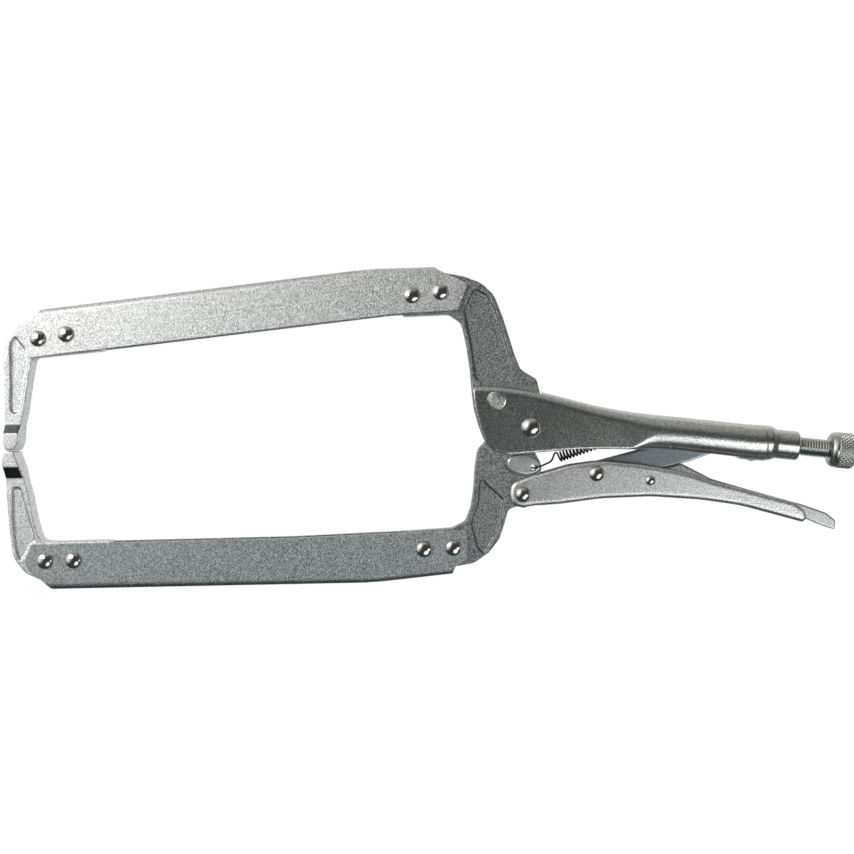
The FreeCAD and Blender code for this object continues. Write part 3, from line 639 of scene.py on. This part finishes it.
# %% A tube along a list of points
def tube_mesh(name, points, radius, sides):
    """Closed round tube through points, with a low cone at each end."""
    work = bmesh.new()
    rings = []
    side = None
    for i, point in enumerate(points):
        ahead = (points[min(i + 1, len(points) - 1)] - points[max(i - 1, 0)]).normalized()
        if side is None:
            side = ahead.orthogonal().normalized()
        else:
            side = (side - ahead * side.dot(ahead)).normalized()
        up = ahead.cross(side)
        ring = []
        for k in range(sides):
            angle = 2.0 * math.pi * k / sides
            spoke = side * math.cos(angle) + up * math.sin(angle)
            ring.append(work.verts.new(point + spoke * radius))
        rings.append(ring)
    for first, second in zip(rings, rings[1:]):
        for k in range(sides):
            j = (k + 1) % sides
            work.faces.new((first[k], first[j], second[j], second[k]))
    for ring, end, inner in ((rings[0], points[0], points[1]), (rings[-1], points[-1], points[-2])):
        tip = work.verts.new(end + (end - inner).normalized() * radius * 0.7)
        for k in range(sides):
            work.faces.new((ring[k], ring[(k + 1) % sides], tip))
    bmesh.ops.recalc_face_normals(work, faces=work.faces)
    mesh = bpy.data.meshes.new(name)
    work.to_mesh(mesh)
    work.free()
    for polygon in mesh.polygons:
        polygon.use_smooth = True
    return mesh


# %% [markdown]
# ### Retaining ring
#
# A split spring ring sits in the groove at the screw's inner end. It is hidden inside the handle, so a
# plain ring with rounded edges and its gap is enough.

# %% Bend the ring
ring_start, ring_end = span_along("screw_clip", screw_mouth, screw_axis)
low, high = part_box("screw_clip")
ring_r = (high.y - low.y) / 2.0
RING_WIRE_R = 0.48 * MM
GAP_HALF_ANGLE = 12.0
side = Vector((0, 1, 0))
other = screw_axis.cross(side)
ring_points = []
for i in range(61):
    angle = math.radians(GAP_HALF_ANGLE + (360.0 - 2.0 * GAP_HALF_ANGLE) * i / 60.0)
    spoke = other * math.cos(angle) + side * math.sin(angle)
    middle = screw_mouth + screw_axis * (ring_start + ring_end) / 2.0
    ring_points.append(middle + spoke * (ring_r - 0.6 * MM))
ring = new_piece("split_ring", tube_mesh("split_ring", ring_points, RING_WIRE_R, 12))
hand_over(ring, "screw_clip")

# %% [markdown]
# ### Tension spring
#
# The spring pulls the lower jaw open: its front hook goes through the hole in the jaw's ear, its rear
# hook through a lug inside the handle. A curve with a Screw modifier would coil it, but then the hooks
# are separate. Here one list of points runs through hook, coils and hook, and a tube follows it. The
# coils lie closer at the jaw's end and open towards the handle, as on a stretched spring.

# %% Place the spring's ends
WIRE_R = 0.5 * MM
COIL_R = 2.4 * MM
COILS = 18
STEPS_PER_COIL = 20
spring_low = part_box("tension_spring")[0]


def from_hook(x, y, z):
    """A place in mm from the lower front corner of the spring's own box, on the clamp's mid-plane."""
    return Vector((spring_low.x, 0.0, spring_low.z)) + Vector((x, y, z)) * MM


coil_front = from_hook(16.1, 0.0, 6.6)
coil_rear = from_hook(51.9, 0.0, 18.1)
coil_axis = (coil_rear - coil_front).normalized()
coil_up = Vector((-coil_axis.z, 0.0, coil_axis.x))
print("coils", round((coil_rear - coil_front).length / MM, 1), "mm long")

# %% [markdown]
# ### The spring's wire
#
# The front hook comes in from the far side, crosses the jaw through its hole and bends back to the
# coils. The coils' pitch grows steadily from the front to the rear. The rear hook passes through the
# lug and turns down.

# %% Wind the spring
FRONT_HOOK = (
    (0.9, 6.2, 0.6), (1.9, 5.4, 0.9), (2.2, 3.0, 1.1), (2.2, -3.0, 1.1), (2.4, -5.4, 1.2),
    (3.6, -6.3, 1.5), (6.0, -5.6, 2.1), (9.0, -3.4, 3.2), (11.4, -1.6, 4.1), (12.6, -0.8, 5.4),
    (13.6, -0.4, 7.9), (14.4, 0.0, 9.0),
)
REAR_HOOK = (
    (55.6, 0.6, 20.0), (58.2, 0.0, 20.9), (61.9, 0.0, 21.2), (64.2, 0.0, 20.9), (65.0, 0.0, 19.8),
)
EVEN_SHARE, GROWING_SHARE = 0.77, 0.23


def coil_points():
    coil = []
    length = (coil_rear - coil_front).length
    for i in range(COILS * STEPS_PER_COIL + 1):
        share = i / (COILS * STEPS_PER_COIL)
        angle = 2.0 * math.pi * i / STEPS_PER_COIL
        along = length * (EVEN_SHARE * share + GROWING_SHARE * share * share)
        spoke = coil_up * math.cos(angle) + Vector((0, 1, 0)) * math.sin(angle)
        coil.append(coil_front + coil_axis * along + spoke * COIL_R)
    return coil


wire_line = [from_hook(*spot) for spot in FRONT_HOOK]
wire_line += coil_points()
wire_line += [from_hook(*spot) for spot in REAR_HOOK]
spring = new_piece("wound_spring", tube_mesh("wound_spring", wire_line, WIRE_R, 10))
hand_over(spring, "tension_spring")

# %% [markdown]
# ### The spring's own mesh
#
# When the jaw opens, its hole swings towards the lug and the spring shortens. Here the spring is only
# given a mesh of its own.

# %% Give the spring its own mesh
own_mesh(spring)

# %% [markdown]
# ## Studio
#
# Polished metal shows what surrounds it, so the surroundings matter more than the lamps: a lamp alone
# would leave the steel black. A light tent is copied here, in three steps. The floor and the far wall
# look white to the camera, two lamps give the main light, and the metal mirrors a sky of soft areas.
#
# ### Floor
#
# The floor lies below the clamp, low enough for the arm to swing open above it. It is seen as plain
# white and lets all other light through, so it puts no glare on the clamp's underside.

# %% Floor
floor_mesh = bpy.data.meshes.new("floor")
reach = 6.0
floor_z = -0.135
floor_mesh.from_pydata([(-reach, -reach, floor_z), (reach, -reach, floor_z), (reach, reach, floor_z),
                        (-reach, reach, floor_z)], [], [(0, 1, 2, 3)])
floor = new_piece("floor", floor_mesh)
floor_finish = bpy.data.materials.new("pale floor")
floor_finish.use_nodes = True
floor_tree = floor_finish.node_tree
floor_tree.nodes.remove(floor_tree.nodes["Principled BSDF"])
pale = add_node(floor_tree, "ShaderNodeEmission", {"Color": (1.0, 1.0, 1.0, 1.0), "Strength": 1.0})
clear = add_node(floor_tree, "ShaderNodeBsdfTransparent")
floor_eye = add_node(floor_tree, "ShaderNodeLightPath").outputs["Is Camera Ray"]
floor_mix = add_node(floor_tree, "ShaderNodeMixShader",
                     {0: floor_eye, 1: clear.outputs[0], 2: pale.outputs[0]})
floor_tree.links.new(floor_mix.outputs[0], floor_tree.nodes["Material Output"].inputs["Surface"])
floor.data.materials.append(floor_finish)
print("floor at z", floor_z, "m")

# %% [markdown]
# ### Lamps
#
# A large soft box stands near the tips, to the left, so the arms are brightest there. A smaller one
# low on the right draws the highlight along the handle's tube. A point lamp would give hard sparks on
# the rivets, so both are rectangles. Their power follows from the brightness and the area.

# %% Set up the lamps
def soft_box(name, place, target, width, height, radiance):
    light = bpy.data.lights.new(name, "AREA")
    light.shape = "RECTANGLE"
    light.size = width
    light.size_y = height
    light.energy = radiance * math.pi * width * height
    lamp = bpy.data.objects.new(name, light)
    bpy.context.scene.collection.objects.link(lamp)
    lamp.visible_camera = False
    lamp.location = place
    lamp.rotation_euler = (Vector(target) - Vector(place)).to_track_quat("-Z", "Y").to_euler()
    return lamp


soft_box("near left", (-0.50, -0.50, 0.34), (-0.22, 0.0, 0.15), 0.45, 0.34, 3.9)
soft_box("low right", (0.33, -0.35, -0.045), (0.17, 0.0, 0.04), 0.26, 0.15, 2.3)

# %% [markdown]
# ### Sky
#
# The metal sees a dim sky with five soft bright areas: to the upper left, low in front, overhead, to
# the right and behind. Between them it stays dark, which gives the edges and domes their contrast. The
# light is a little cooler from below than from above. The camera itself sees plain white.

# %% Build the sky
DIM = 0.075
world = bpy.data.worlds.new("studio")
bpy.context.scene.world = world
world.use_nodes = True
sky = world.node_tree
background = sky.nodes["Background"]
direction = add_node(sky, "ShaderNodeTexCoord").outputs["Generated"]


def bright_area(toward, narrow, wide, strength):
    """A soft bright patch of sky around one direction; narrow and wide are cosines of its edges."""
    aim = Vector(toward).normalized()
    near = add_node(sky, "ShaderNodeVectorMath", {0: direction, 1: tuple(aim)},
                    operation="DOT_PRODUCT")
    patch = add_node(sky, "ShaderNodeMapRange",
                     {"Value": near.outputs["Value"], "From Min": wide, "From Max": narrow,
                      "To Min": 0.0, "To Max": strength}, interpolation_type="SMOOTHSTEP")
    return patch.outputs["Result"]


areas = [
    bright_area((-0.80, -0.46, 0.38), 0.97, 0.62, 1.25),
    bright_area((0.30, -0.76, -0.50), 0.975, 0.92, 2.0),
    bright_area((-0.2, -0.1, 1.0), 0.95, 0.40, 0.46),
    bright_area((1.0, 0.3, 0.1), 0.95, 0.74, 0.60),
    bright_area((0.25, 0.95, 0.25), 0.95, 0.25, 0.80),
]
total = add_node(sky, "ShaderNodeMath", {0: DIM, 1: areas[0]}, operation="ADD")
for area in areas[1:]:
    total = add_node(sky, "ShaderNodeMath", {0: total.outputs[0], 1: area}, operation="ADD")
eye = add_node(sky, "ShaderNodeLightPath").outputs["Is Camera Ray"]
seen = add_node(sky, "ShaderNodeMix", data_type="FLOAT")
sky.links.new(eye, seen.inputs["Factor"])
sky.links.new(total.outputs[0], seen.inputs[2])
seen.inputs[3].default_value = 1.0
sky.links.new(seen.outputs[0], background.inputs["Strength"])
up_down = add_node(sky, "ShaderNodeSeparateXYZ", {"Vector": direction})
warmth = add_node(sky, "ShaderNodeMapRange",
                  {"Value": up_down.outputs["Z"], "From Min": -0.3, "From Max": 0.35})
tint = add_node(sky, "ShaderNodeMix", data_type="RGBA")
sky.links.new(warmth.outputs["Result"], tint.inputs["Factor"])
tint.inputs[6].default_value = (0.93, 0.98, 1.0, 1.0)
tint.inputs[7].default_value = (1.0, 0.99, 0.955, 1.0)
shown = add_node(sky, "ShaderNodeMix", data_type="RGBA")
sky.links.new(eye, shown.inputs["Factor"])
sky.links.new(tint.outputs[2], shown.inputs[6])
shown.inputs[7].default_value = (1.0, 1.0, 1.0, 1.0)
sky.links.new(shown.outputs[2], background.inputs["Color"])
bpy.context.scene.view_settings.view_transform = "Standard"
print("sky with", len(areas), "bright areas")

# %% [markdown]
# ## Camera
#
# The clamp is seen square from the side at arm's length, with the lens level and turned about a
# degree, so that the lower arm runs slightly downhill.

# %% Set up the camera
DISTANCE = 0.730
ROLL = math.radians(1.15)
LENS = 57.1
camera = bpy.data.objects.new("camera", bpy.data.cameras.new("camera"))
bpy.context.scene.collection.objects.link(camera)
camera.data.sensor_width = 36.0
camera.data.lens = LENS
right = Vector((math.cos(ROLL), 0.0, -math.sin(ROLL)))
up = Vector((math.sin(ROLL), 0.0, math.cos(ROLL)))
back = Vector((0.0, -1.0, 0.0))
turned = Matrix((right, up, back)).transposed().to_4x4()
camera.matrix_world = Matrix.Translation((-0.0015, -DISTANCE, 0.0827)) @ turned
bpy.context.scene.camera = camera
print("camera at", [round(v, 3) for v in camera.location])
